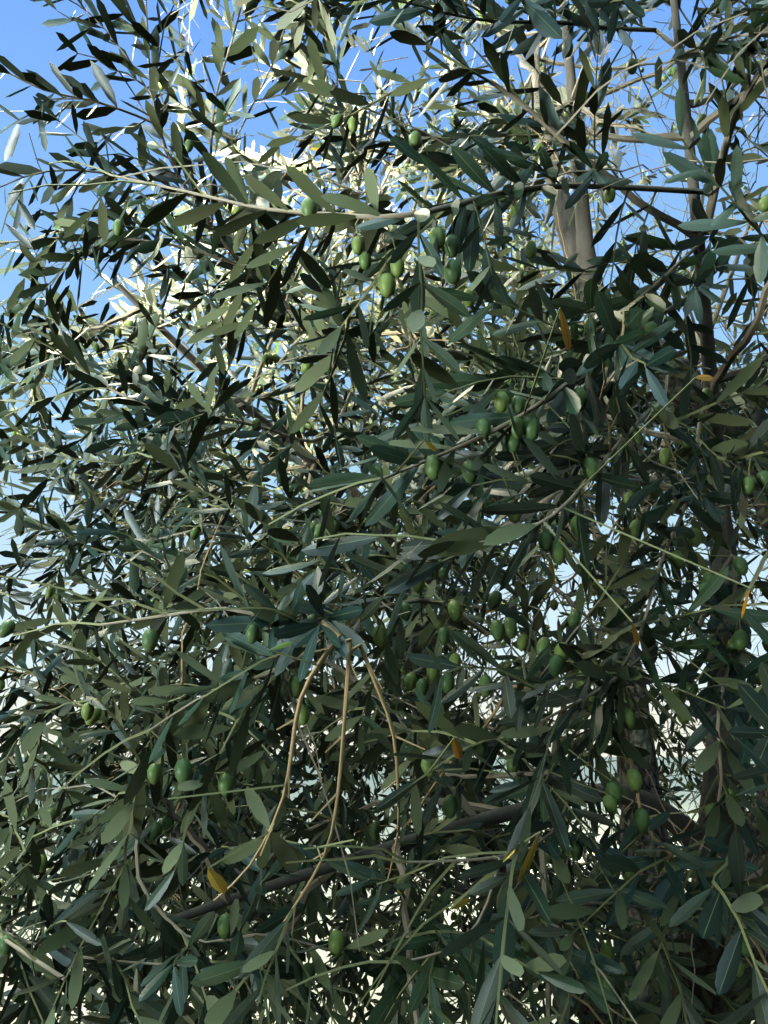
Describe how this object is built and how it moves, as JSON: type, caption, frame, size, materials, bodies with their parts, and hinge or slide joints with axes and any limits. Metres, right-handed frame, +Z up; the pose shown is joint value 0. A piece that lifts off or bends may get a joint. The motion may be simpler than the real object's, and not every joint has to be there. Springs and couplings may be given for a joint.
{
  "type": "olive tree",
  "caption": "Rooted olive tree with a short fluted trunk, spreading boughs and separate leafy masses that hang at the skirt and stand upright at the top.",
  "frame": {"origin": "middle of the flat cut under the trunk, at ground level", "axes": "+Z up, -Y towards the side that the tree is seen from, +X to the right from there"},
  "size_m": [3.4119, 3.3872, 4.0546],
  "materials": {
    "bark": "rough, fissured grey-brown bark",
    "limb_bark": "smoother grey bark",
    "foliage": "narrow leathery leaves, dark grey-green above and silvery below, with green fruit"
  },
  "bodies": {
    "root": {"trunk": "bark", "bough_right": "bark", "bough_right_upper": "bark", "bough_leader": "bark", "bough_left": "bark", "bough_back": "bark", "bough_side": "bark", "bough_front": "bark", "limb_skirt_front_left": "limb_bark", "limb_skirt_front_right": "limb_bark", "limb_skirt_right": "limb_bark", "limb_skirt_back": "limb_bark", "limb_skirt_left": "limb_bark", "limb_middle_right_front": "limb_bark", "limb_middle_back": "limb_bark", "limb_middle_left_back": "limb_bark", "limb_middle_left_front": "limb_bark", "limb_upper_front": "limb_bark", "limb_upper_right": "limb_bark", "limb_upper_back_right": "limb_bark", "limb_inner": "limb_bark", "foliage_skirt_front_left": "foliage", "foliage_skirt_front_right": "foliage", "foliage_skirt_right": "foliage", "foliage_skirt_back": "foliage", "foliage_skirt_left": "foliage", "foliage_middle_front": "foliage", "foliage_middle_right_front": "foliage", "foliage_middle_right_back": "foliage", "foliage_middle_back": "foliage", "foliage_middle_left_back": "foliage", "foliage_middle_left_front": "foliage", "foliage_upper_front": "foliage", "foliage_upper_right": "foliage", "foliage_upper_back_right": "foliage", "foliage_upper_back_left": "foliage", "foliage_upper_left": "foliage", "foliage_top": "foliage", "foliage_inner": "foliage"}
  },
  "joints": []
}
